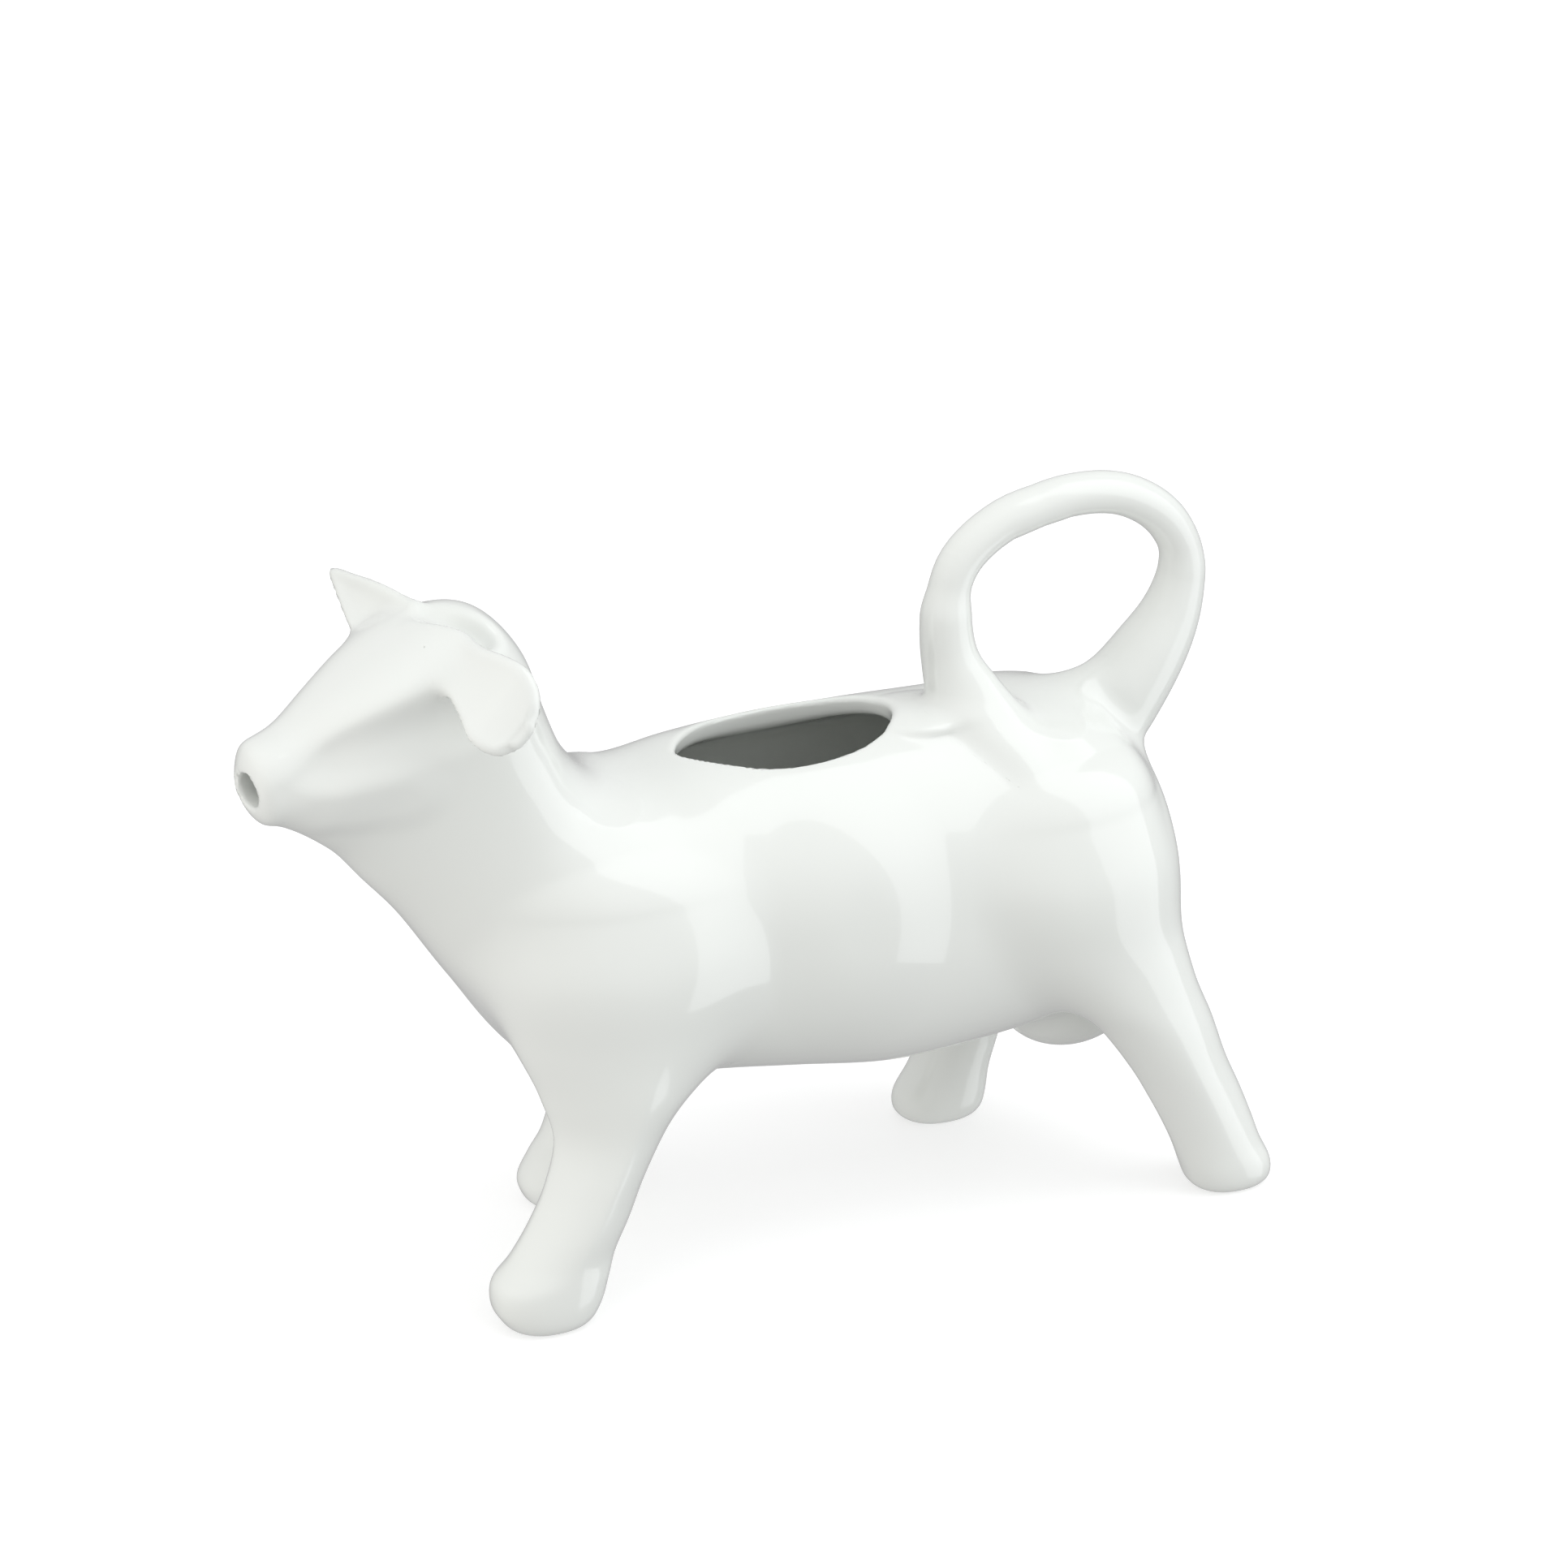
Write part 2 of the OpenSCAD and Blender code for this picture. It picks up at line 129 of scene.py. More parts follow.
# Swellings and hollows of the sides, the same left and right: x and z of the two ends of the
# middle line, half length and half height round it, how far they stand out, and how wide their
# sloping edge is as a share of their size
SWELLINGS = [
    ((-38.0, 60.0), (-38.0, 60.0), (22.5, 24.0), 1.9, 0.8),
    ((-2.5, 58.0), (-2.5, 58.0), (16.5, 26.0), 1.2, 0.8),
    ((35.0, 58.0), (35.0, 58.0), (19.5, 24.0), 1.7, 0.8),
    ((-84.0, 88.0), (-74.0, 88.5), (10.0, 7.0), 0.8, 0.7),
    ((-83.0, 97.0), (-66.0, 100.5), (9.0, 7.0), -1.9, 1.0),
]
# Distance from the middle plane at which they begin, and over which they grow
SWELLING_START = 2
SWELLING_GROWTH = 10

# Slices across the barrel, the neck and the head, from the rump to the muzzle: x and z of the
# top, x and z of the bottom, half width, squareness, how high up the widest place lies, and how far
# the head has turned to the cow's left
SPINE = [
    (52.3, 69.5, 54.0, 37.0, 14.5, 2.3, 0.00, 0.0),
    (46.5, 77.0, 47.5, 30.5, 19.5, 2.3, 0.00, 0.0),
    (36.0, 80.8, 36.0, 26.6, 21.5, 2.3, 0.00, 0.0),
    (22.0, 81.4, 22.0, 25.0, 22.0, 2.3, 0.00, 0.0),
    (8.0, 82.0, 8.0, 24.8, 22.5, 2.3, 0.00, 0.0),
    (-8.0, 82.2, -8.0, 27.5, 22.5, 2.3, 0.00, 0.0),
    (-21.0, 81.3, -23.0, 30.0, 22.5, 2.3, 0.00, 0.0),
    (-30.0, 79.9, -37.5, 31.0, 22.0, 2.3, 0.00, 0.0),
    (-37.4, 81.4, -50.5, 37.5, 20.5, 2.25, 0.00, 0.0),
    (-43.0, 87.2, -60.5, 51.0, 17.5, 2.2, 0.04, -0.2),
    (-46.4, 95.2, -68.8, 63.5, 15.0, 2.2, 0.16, -0.6),
    (-49.6, 104.4, -75.0, 71.0, 13.9, 2.2, 0.28, -1.2),
    (-56.0, 111.2, -79.0, 76.0, 13.4, 2.3, 0.40, -1.9),
    (-65.5, 111.2, -82.5, 79.2, 12.5, 2.4, 0.50, -2.8),
    (-73.5, 107.9, -85.5, 81.6, 10.8, 2.5, 0.52, -3.6),
    (-80.6, 103.8, -88.0, 83.4, 8.5, 2.5, 0.46, -4.3),
    (-87.4, 99.6, -90.2, 84.7, 6.6, 2.4, 0.28, -4.9),
    (-93.0, 98.0, -91.8, 85.2, 6.2, 2.2, 0.00, -5.3),
]
# Slice at the seam between the barrel's casting and the head's
NECK_SEAM = 10
# How far the domes stand out that close the rump and the muzzle, how blunt a dome is, and how
# small its last slice is as a share of its first
RUMP_BULGE = 4.0
MUZZLE_BULGE = 2.8
DOME_BLUNTNESS = 0.8
DOME_TIP = 0.02
# How much flatter the cheeks are, for each unit that the widest place has moved up
CHEEK_FLATNESS = 0.9
# Steps from each row to the next, and steps of a dome
SPINE_STEPS = 12
BULGE_STEPS = 8

# Legs from the sole up: z, x, y, half length along the body, half width across it, squareness
FRONT_LEFT = [
    (0.0, -53.4, -19.0, 6.0, 5.2, 2.2),
    (1.5, -53.4, -19.0, 7.4, 6.2, 2.3),
    (4.0, -53.4, -19.0, 8.7, 6.6, 2.3),
    (7.5, -52.8, -19.0, 9.2, 6.6, 2.2),
    (11.0, -50.8, -18.9, 8.6, 6.5, 1.8),
    (16.0, -47.8, -18.6, 8.3, 6.9, 1.6),
    (22.0, -44.8, -18.0, 8.2, 7.3, 1.5),
    (29.0, -41.6, -17.0, 9.4, 8.0, 1.5),
    (36.0, -39.4, -15.6, 13.2, 9.8, 1.6),
    (45.0, -38.4, -14.2, 17.2, 11.0, 1.8),
    (56.0, -38.4, -13.0, 18.6, 11.6, 2.1),
    (66.0, -38.8, -10.4, 14.5, 10.0, 2.1),
]
FRONT_RIGHT = [
    (0.0, -34.6, 16.8, 6.0, 5.2, 2.2),
    (1.5, -34.6, 16.8, 7.2, 6.2, 2.3),
    (4.0, -34.4, 16.8, 7.9, 6.5, 2.3),
    (7.5, -33.0, 16.8, 7.6, 6.3, 2.2),
    (11.0, -31.2, 17.0, 7.0, 6.1, 2.2),
    (16.0, -30.0, 17.2, 6.9, 6.1, 2.1),
    (22.0, -30.4, 17.3, 7.3, 6.5, 2.1),
    (29.0, -32.5, 17.0, 9.0, 7.2, 2.1),
    (36.0, -35.5, 15.6, 12.5, 9.0, 2.1),
    (45.0, -37.6, 14.2, 16.0, 10.6, 2.1),
    (56.0, -38.4, 13.0, 18.6, 11.6, 2.1),
    (66.0, -38.8, 10.4, 14.5, 10.0, 2.1),
]
REAR_LEFT = [
    (0.0, 61.4, -22.0, 5.6, 4.8, 2.2),
    (1.5, 61.2, -22.0, 6.8, 5.7, 2.3),
    (4.0, 60.6, -22.0, 7.2, 6.0, 2.3),
    (7.5, 59.2, -21.8, 7.1, 6.0, 2.0),
    (11.0, 57.9, -21.5, 7.3, 6.1, 1.8),
    (16.0, 55.8, -21.0, 7.6, 6.3, 1.7),
    (22.0, 53.0, -20.2, 8.0, 6.8, 1.7),
    (29.0, 49.6, -19.0, 9.3, 7.5, 1.8),
    (36.0, 45.4, -17.2, 11.0, 8.6, 2.1),
    (45.0, 40.9, -15.0, 13.8, 10.2, 2.1),
    (56.0, 37.4, -13.2, 16.4, 11.4, 2.1),
    (66.0, 36.6, -10.4, 13.5, 10.0, 2.1),
]
REAR_RIGHT = [
    (0.0, 30.4, 18.3, 6.0, 5.0, 2.2),
    (1.5, 30.4, 18.3, 7.2, 5.8, 2.3),
    (4.0, 30.8, 18.3, 7.4, 6.0, 2.3),
    (7.5, 32.2, 18.4, 6.6, 5.8, 2.2),
    (11.0, 33.6, 18.5, 6.2, 5.8, 2.2),
    (16.0, 35.3, 18.5, 6.3, 5.9, 2.1),
    (22.0, 37.4, 18.2, 7.0, 6.3, 2.1),
    (29.0, 39.4, 17.5, 8.4, 7.2, 2.1),
    (36.0, 40.4, 16.5, 10.8, 8.6, 2.1),
    (45.0, 39.8, 14.8, 14.0, 10.2, 2.1),
    (56.0, 37.4, 13.2, 16.4, 11.4, 2.1),
    (66.0, 36.6, 10.4, 13.5, 10.0, 2.1),
]
LEG_TOP_BULGE = 8.0
SOLE_ROUNDING = 0.8
# Share of the distance that a leg's field gives, because its sides slant
LEG_SLOPE = 0.9
# Room round a leg, a bar or an ear in which its field is worked out
LEG_REACH = 9.0
BAR_REACH = 6.0
EAR_REACH = 6.0

# Tail from its root in the rump over the top of the loop, and from the top down to its tip on the
# left haunch: x, y, z, radius
TAIL_UP = [
    (46.2, 0.0, 67.4, 6.0),
    (52.6, 0.0, 74.3, 5.6),
    (57.9, 0.0, 81.6, 4.7),
    (61.6, 0.0, 89.0, 3.8),
    (62.7, 0.0, 97.2, 3.3),
    (59.0, 0.0, 104.8, 3.3),
    (51.6, 0.0, 109.8, 3.3),
    (42.2, 0.0, 111.0, 3.3),
    (32.0, 0.0, 109.0, 3.3),
]
TAIL_DOWN = [
    (42.2, 0.0, 111.0, 3.3),
    (32.0, 0.0, 109.0, 3.3),
    (24.4, -0.3, 103.8, 3.3),
    (21.7, -1.0, 96.2, 3.3),
    (22.4, -2.4, 88.8, 3.6),
    (25.2, -5.0, 83.2, 4.0),
    (28.6, -8.0, 77.6, 4.2),
    (31.0, -10.0, 71.5, 3.8),
]
# Back of the tail's foot, which drops straight from the loop to the back
TAIL_HEEL = [
    (21.6, -1.0, 95.0, 2.6),
    (21.2, -1.4, 88.5, 2.8),
    (21.0, -4.0, 83.0, 3.0),
    (24.0, -9.4, 78.6, 3.0),
    (28.2, -13.2, 74.2, 2.6),
    (30.6, -15.4, 68.6, 2.4),
]
# Ridge along the croup that the tail grows out of
CROUP = [
    (31.0, 0.0, 72.8, 3.4),
    (39.0, 0.0, 74.4, 3.8),
    (46.0, 0.0, 77.4, 4.0),
    (52.0, 0.0, 79.8, 4.2),
    (56.6, 0.0, 84.2, 3.8),
    (59.8, 0.0, 89.4, 2.4),
    (61.4, 0.0, 95.0, 0.6),
]
# Steps from each row to the next, of a bar in the middle plane and of any other
TUBE_STEPS = 14
BAR_STEPS = 6

# Ears from the root to the tip: y, x and z of the upper edge, x and z of the lower edge, and half
# the thickness
LEFT_EAR = [
    (-3.0, -62.0, 110.0, -66.0, 107.8, 2.2),
    (-6.0, -61.6, 110.4, -66.4, 107.7, 2.1),
    (-9.0, -60.8, 110.6, -66.4, 107.4, 2.0),
    (-12.0, -60.2, 110.7, -66.6, 106.1, 1.8),
    (-16.0, -59.8, 111.0, -65.8, 104.4, 1.7),
    (-20.0, -58.6, 111.3, -65.7, 102.6, 1.6),
    (-24.0, -57.2, 110.9, -66.0, 100.8, 1.5),
    (-26.2, -56.6, 109.0, -65.0, 99.8, 1.4),
    (-27.6, -57.0, 106.4, -63.4, 99.6, 1.2),
    (-28.2, -58.2, 104.2, -61.6, 100.6, 1.0),
]
RIGHT_EAR = [
    (3.0, -62.6, 111.0, -70.0, 103.8, 1.7),
    (7.0, -63.8, 111.4, -70.4, 104.4, 1.7),
    (12.5, -65.4, 111.5, -69.9, 105.7, 1.6),
    (17.5, -66.7, 111.0, -69.2, 106.9, 1.4),
    (22.0, -67.6, 110.4, -68.6, 108.2, 1.4),
    (23.6, -67.9, 109.9, -68.3, 109.0, 1.3),
]
EAR_STEPS = 12
# How deep each ear's face is, the half height from which it is so deep, and how the depth is
# shared between the middle and the edges
LEFT_EAR_HOLLOW = 0.9
RIGHT_EAR_HOLLOW = 1.8
EAR_FULL_HALF = 4.5
EAR_MIDDLE_SHARE = 0.55

# Udder: its centre and half sizes
UDDER = ((44.0, 0.0, 28.2), (12.0, 9.0, 10.0))
# Low pad on the back between the opening and the tail, given alike
PAD = ((16.5, -3.0, 80.7), (8.5, 7.0, 1.8))
PAD_BLEND = 1.2
# Hollow between the crest of the head and the near ear: the ends of its middle line, its radius
# and the rounding of its edge
EAR_POCKET = ((-62.8, -1.4, 112.8), (-57.8, -8.4, 110.0))
EAR_POCKET_RADIUS = 2.2
EAR_POCKET_EDGE = 2.2

# How far below the barrel's or the head's surface a casting is parted from it
JOIN_DEPTH = 1.2
# Height at which the legs end, and distance from the middle plane at which the ears begin
LEG_SEAM = 63.0
EAR_SEAM = 10.0
# How far outside each casting its cutter lies, and how much less that is on the croup
EAR_MARGIN = 1.5
LEG_MARGIN = 2.5
TAIL_MARGIN = 2.2
UDDER_MARGIN = 1.2
CROUP_LESS = 1.0
# How far inside the reach of each casting's field the cutter's grid lies, and outside the udder
EAR_INSET = 2
LEG_INSET = 3
TAIL_INSET = 3
UDDER_ROOM = 4
# Grid of the cutters, and the shifts of it that are tried in turn
CUTTER_STEP = 1.0
CUTTER_SHIFTS = (0.0, 0.15, 0.3, 0.45, 0.6, 0.75)
# Block that cuts off the head: its length forwards, and its reach up and down and to each side
BLOCK_LENGTH = 90
BLOCK_HEIGHT = 80
BLOCK_WIDTH = 60
# How far from the field's surface the middle of a glazed face may lie, as a share of the grid
GLAZE_DEPTH = 0.3
# How far a glazed face agrees at least with the field's slope, and below which area, in square
# millimetres, a face beside a join counts as glazed anyway
GLAZE_AGREEMENT = 0.5
SLIVER_AREA = 0.03
# How far to each side the slope of the glaze is taken, which smooths out smaller waves
SLOPE_STEP = 0.6
# Fewest faces of a true piece of mesh
SPECK_FACES = 50

# Glaze: its two tones, its least and greatest roughness, the scales at which tone, roughness and
# waves change, and how strong and how high the waves are
GLAZE_TONES = ((0.775, 0.797, 0.762, 1), (0.80, 0.815, 0.79, 1))
GLAZE_ROUGHNESS = (0.12, 0.2)
TONE_SCALE = 25
ROUGHNESS_SCALE = 60
WAVE_SCALE = 70
WAVE_STRENGTH = 0.15
WAVE_HEIGHT = 0.0004

# Table: how far it reaches to each side, its two tones, and the scale at which they change
TABLE_REACH = 6000.0
TABLE_TONES = ((0.60, 0.60, 0.60, 1), (0.62, 0.62, 0.62, 1))
TABLE_SCALE = 8

# Camera: how far round and how high it stands, its distance, what it looks at, the width that it
# frames there, its sensor, and the nearest and farthest places that it sees, in metres
AZIMUTH = -25.0
ELEVATION = 25.0
DISTANCE = 1200.0
TARGET = np.array([-5.0, 0.0, 72.0])
FRAMED = 238.2
SENSOR = 36.0
NEAREST = 0.01
FARTHEST = 50

# Light: how bright the studio is below and above, how far from level that change reaches, what
# the panels face and how far off they stand
SKY_BELOW = 0.45
SKY_ABOVE = 0.73
HORIZON = 0.3
LIT = np.array([-10.0, 0.0, 60.0])
PANEL_DISTANCE = 900.0
WARM = (1.0, 0.975, 0.95)
COOL = (0.96, 0.985, 1.0)
# Panels: azimuth, elevation, width, height, brightness, colour, and whether the glaze mirrors them
PANELS = {
    "right": (55, 20, 800, 2700, 0.8, COOL, True),
    "right_fill": (55, 10, 800, 2000, 0.5, COOL, False),
    "left": (-75, 2, 900, 1200, 1.3, WARM, False),
    "overhead": (0, 85, 900, 700, 0.9, COOL, False),
}


# Fields

def curve(rows, steps):
    """Points on the smooth curve through rows, with so many steps from each row to the next."""
    r = np.asarray(rows, float)
    r = np.vstack([2 * r[0] - r[1], r, 2 * r[-1] - r[-2]])
    t = (np.arange(steps) / steps)[:, None]
    points = []
    for a, b, c, d in zip(r[:-3], r[1:-2], r[2:-1], r[3:]):
        points.append((2 * b + (c - a) * t + (2 * a - 5 * b + 4 * c - d) * t ** 2
                       + (3 * b - a - 3 * c + d) * t ** 3) / 2)
    return np.vstack(points + [r[-2:-1]])


def blend(a, b, width):
    """Union of two fields with a rounded inner corner."""
    h = np.clip(0.5 + 0.5 * (b - a) / width, 0, 1)
    return b + (a - b) * h - width * h * (1 - h)


def ease(t):
    """Turns a straight rise from 0 to 1 into one with soft ends."""
    t = np.clip(t, 0, 1)
    return t * t * (3 - 2 * t)


def cut(a, b, width):
    """What is left of the first field outside the second, with a rounded edge."""
    return -blend(-a, b, width)


class Lattice:
    """Values that depend on x and z alone, worked out once and read off between its points."""

    def __init__(self, rule, soften=0):
        low, high = LOW[[0, 2]], HIGH[[0, 2]]
        self.low = low
        self.last = np.ceil((high - low) / LATTICE_STEP).astype(int)
        x, z = (low[k] + LATTICE_STEP * np.arange(self.last[k] + 1) for k in (0, 1))
        grid = np.stack(np.meshgrid(x, z, indexing="ij"), -1).reshape(-1, 2)
        self.table = rule(grid).reshape(len(x), len(z), -1)
        for _ in range(soften):
            for k in (0, 1):
                t = np.moveaxis(self.table[..., :-1], k, 0)
                t[1:-1] = (t[:-2] + 2 * t[1:-1] + t[2:]) / 4

    def __call__(self, points):
        u = (points[:, [0, 2]] - self.low) / LATTICE_STEP
        i = np.clip(u.astype(int), 0, self.last - 1)
        f = np.clip(u - i, 0, 1)
        fx, fz = f[:, :1], f[:, 1:]
        t, ix, iz = self.table, i[:, 0], i[:, 1]
        near = t[ix, iz] * (1 - fx) + t[ix + 1, iz] * fx
        away = t[ix, iz + 1] * (1 - fx) + t[ix + 1, iz + 1] * fx
        return (near * (1 - fz) + away * fz).T


def dome_angles():
    """Angles up a dome of its slices, after the slice that it stands on."""
    return np.linspace(0, math.pi / 2, BULGE_STEPS + 1)[1:]


def bulge(slices, depth, forward):
    """Adds the slices that close one end as a shallow dome."""
    end = slices[-1] if forward else slices[0]
    up = end[2:4] / np.linalg.norm(end[2:4])
    axis = np.array([-up[1], up[0]]) * (1 if forward else -1)
    added = []
    for a in dome_angles():
        shrink = max(math.cos(a) ** DOME_BLUNTNESS, DOME_TIP)
        new = end.copy()
        new[0:2] = end[0:2] + axis * depth * math.sin(a)
        new[2:5] = end[2:5] * shrink
        added.append(new)
    return np.vstack([slices, added] if forward else [added[::-1], slices])


def spine_slices():
    """For each slice: centre x z, half height x z, half width, squareness, how high up the widest
    place lies, and turn.
    """
    r = curve(SPINE, SPINE_STEPS)
    slices = np.hstack([(r[:, 0:2] + r[:, 2:4]) / 2, (r[:, 0:2] - r[:, 2:4]) / 2, r[:, 4:8]])
    return bulge(bulge(slices, RUMP_BULGE, False), MUZZLE_BULGE, True)


def spine_rule(xz):
    """For each place in the middle plane: the slice through it, and the height in that slice."""
    s = spine_slices()
    half = np.linalg.norm(s[:, 2:4], axis=1)
    up = s[:, 2:4] / half[:, None]
    axis = np.stack([-up[:, 1], up[:, 0]], 1)
    side = xz @ axis.T - np.sum(s[:, 0:2] * axis, 1)
    crossed = (side[:, :-1] >= 0) & (side[:, 1:] < 0)
    gap = side[:, :-1] - side[:, 1:]
    share = np.where(crossed, side[:, :-1] / np.where(np.abs(gap) < TINY, 1, gap), 0.5)
    cx = s[:-1, 0] + share * np.diff(s[:, 0])
    cz = s[:-1, 1] + share * np.diff(s[:, 1])
    distance = np.where(crossed, (xz[:, :1] - cx) ** 2 + (xz[:, 1:] - cz) ** 2, UNFOUND)
    i = np.argmin(distance, 1)
    rows = np.arange(len(xz))
    found = crossed[rows, i]
    to_rump = np.sum((xz - s[0, 0:2]) ** 2, 1)
    to_muzzle = np.sum((xz - s[-1, 0:2]) ** 2, 1)
    behind = ~found & (to_rump <= to_muzzle)
    ahead = ~found & (to_rump > to_muzzle)
    i = np.where(behind, 0, np.where(ahead, len(s) - 2, i))
    share = np.where(behind, 0.0, np.where(ahead, 1.0, share[rows, i]))
    beyond = np.where(behind, np.abs(side[:, 0]), np.where(ahead, np.abs(side[:, -1]), 0.0))

    def at(values):
        return values[i] + share * (values[i + 1] - values[i])

    height = (xz[:, 0] - at(s[:, 0])) * at(up[:, 0]) + (xz[:, 1] - at(s[:, 1])) * at(up[:, 1])
    shape = [at(half)] + [at(s[:, k]) for k in range(4, 8)]
    return np.stack(shape + [height, beyond], 1)


def section_distance(q, off, depth):
    """About how far a point lies outside a section, from its place as a share of the section's size,
    its distance from the section's middle, and how deep the middle itself lies.
    """
    return np.where(q < SMALL, -depth, off * (1 - 1 / np.maximum(q, SMALL)))


def spine_field(p):
    """The barrel, the neck and the head as one plain form."""
    half, width, squareness, widest, turn, height, beyond = SPINE_LATTICE(p)
    y = p[:, 1] - turn
    level = height / half - widest
    squareness = np.where(level > 0, squareness, squareness - CHEEK_FLATNESS * widest)
    level = np.abs(level) / np.where(level > 0, 1 - widest, 1 + widest)
    q = ((np.abs(y) / width) ** squareness + level ** squareness) ** (1 / squareness)
    height = height - widest * half
    lateral = section_distance(q, np.hypot(y, height), half)
    return np.where(beyond > 0, np.hypot(beyond, np.maximum(lateral, 0)), lateral)


def inside_box(p, low, high):
    """Numbers of the points that lie in a box."""
    return np.flatnonzero(np.all((p > low) & (p < high), axis=1))


def spread_of(*values):
    """Least and greatest of all the values."""
    return min(v.min() for v in values), max(v.max() for v in values)


def box_round(ranges, reach):
    """Corners of the box round the ranges of x, y and z, with room all round."""
    low, high = np.transpose(ranges)
    return low - reach, high + reach


class Leg:
    """A leg: a pile of level slices, closed above by a dome."""

    def __init__(self, rows):
        r = curve(rows, SPINE_STEPS)
        top = r[-1]
        dome = []
        for a in dome_angles():
            new = top.copy()
            new[0] = top[0] + LEG_TOP_BULGE * math.sin(a)
            new[3:5] = top[3:5] * max(math.cos(a), DOME_TIP)
            dome.append(new)
        self.rows = np.vstack([r, dome])
        along = spread_of(r[:, 1] - r[:, 3], r[:, 1] + r[:, 3])
        across = spread_of(r[:, 2] - r[:, 4], r[:, 2] + r[:, 4])
        upward = (0.0, top[0] + LEG_TOP_BULGE)
        self.low, self.high = box_round([along, across, upward], LEG_REACH)

    def __call__(self, p):
        out = np.full(len(p), FAR)
        near = inside_box(p, self.low, self.high)
        x, y, z = p[near].T
        heights = self.rows[:, 0]
        cx, cy, a, b, n = (np.interp(z, heights, self.rows[:, k]) for k in range(1, 6))
        dx, dy = x - cx, y - cy
        q = ((np.abs(dx) / a) ** n + (np.abs(dy) / b) ** n) ** (1 / n)
        f = section_distance(q, np.hypot(dx, dy), np.minimum(a, b)) * LEG_SLOPE
        f = cut(f, z, SOLE_ROUNDING)
        out[near] = np.maximum(f, z - heights[-1])
        return out


class Path:
    """The path of a round bar, with the room round it in which the bar's field is worked out."""

    def __init__(self, rows, steps):
        self.path = curve(rows, steps)
        reach = self.path[:, 3].max() + BAR_REACH
        self.low = self.path[:, :3].min(0) - reach
        self.high = self.path[:, :3].max(0) + reach


class Tube(Path):
    """A round bar whose path lies about level with the middle plane."""

    def __init__(self, rows):
        super().__init__(rows, TUBE_STEPS)
        self.lattice = Lattice(self.rule)

    def rule(self, xz):
        best = np.full(len(xz), UNFOUND)
        found = np.zeros((len(xz), 4))
        for a, b in zip(self.path[:-1], self.path[1:]):
            d = (b - a)[[0, 2]]
            t = np.clip((xz - a[[0, 2]]) @ d / (d @ d), 0, 1)
            row = a + t[:, None] * (b - a)
            distance = np.sum((xz - row[:, [0, 2]]) ** 2, 1)
            closer = distance < best
            best[closer] = distance[closer]
            found[closer] = row[closer]
        return found

    def __call__(self, p):
        out = np.full(len(p), FAR)
        near = inside_box(p, self.low, self.high)
        x, y, z, radius = self.lattice(p[near])
        out[near] = np.sqrt(np.sum((p[near] - np.stack([x, y, z], 1)) ** 2, 1)) - radius
        return out


class Bar(Path):
    """A round bar whose path may run any way."""

    def __init__(self, rows):
        super().__init__(rows, BAR_STEPS)

    def __call__(self, p):
        out = np.full(len(p), FAR)
        near = inside_box(p, self.low, self.high)
        q = p[near]
        best = np.full(len(q), FAR)
        for a, b in zip(self.path[:-1], self.path[1:]):
            way = b[:3] - a[:3]
            t = np.clip((q - a[:3]) @ way / (way @ way), 0, 1)
            off = q - a[:3] - t[:, None] * way
            best = np.minimum(best, np.sqrt(np.sum(off * off, 1)) - a[3] - t * (b[3] - a[3]))
        out[near] = best
        return out


class Ear:
    """A thin leaf between an upper and a lower edge, hollow in front."""

    def __init__(self, rows, hollow):
        self.hollow = hollow
        r = curve(rows, EAR_STEPS)
        self.rows = r[::-1] if r[0, 0] > r[-1, 0] else r
        half = np.hypot(self.rows[:, 1] - self.rows[:, 3], self.rows[:, 2] - self.rows[:, 4]) / 2
        self.taper = np.gradient(half, self.rows[:, 0])
        ranges = [spread_of(r[:, columns]) for columns in ([1, 3], [0], [2, 4])]
        self.low, self.high = box_round(ranges, EAR_REACH)

    def __call__(self, p):
        out = np.full(len(p), FAR)
        near = inside_box(p, self.low, self.high)
        x, y, z = p[near].T
        r = self.rows
        tx, tz, bx, bz, thick = (np.interp(y, r[:, 0], r[:, k]) for k in range(1, 6))
        beyond = np.maximum(r[0, 0] - y, y - r[-1, 0])
        half = np.hypot(bx - tx, bz - tz) / 2
        ax, az = (bx - tx) / half / 2, (bz - tz) / half / 2
        qx, qz = x - (tx + bx) / 2, z - (tz + bz) / 2
        along = qx * ax + qz * az
        bow = self.hollow * np.clip(half / EAR_FULL_HALF, 0, 1)
        bow *= EAR_MIDDLE_SHARE - (along / half) ** 2
        out_of_leaf = qz * ax - qx * az - bow
        f = np.hypot(np.maximum(np.abs(along) - (half - thick), 0), out_of_leaf) - thick
        f /= np.sqrt(1 + np.interp(y, r[:, 0], self.taper) ** 2)
        out[near] = np.where(beyond > 0, np.hypot(np.maximum(f + thick, 0), beyond) - thick, f)
        return out


def ellipsoid(p, centre, half):
    """A form with the given centre and half sizes."""
    q = (p - centre) / half
    k = np.sqrt(np.sum(q * q, 1))
    steepness = np.sqrt(np.sum((q / half) ** 2, 1))
    return k * (k - 1) / np.maximum(steepness, SMALL)


def rod(p, start, end, radius):
    """A straight bar with round ends."""
    start, way = np.asarray(start), np.subtract(end, start)
    t = np.clip((p - start) @ way / (way @ way), 0, 1)
    return np.sqrt(np.sum((p - start - t[:, None] * way) ** 2, 1)) - radius


def swelling(p):
    """How far the sides stand out beyond the plain sections."""
    out = np.zeros(len(p))
    for start, end, half, rise, edge in SWELLINGS:
        way = np.subtract(end, start) / half
        q = (p[:, [0, 2]] - start) / half
        t = np.clip(q @ way / max(way @ way, TINY), 0, 1)
        out += rise * ease((1 - np.linalg.norm(q - t[:, None] * way, axis=1)) / edge)
    return out * ease((np.abs(p[:, 1]) - SWELLING_START) / SWELLING_GROWTH)


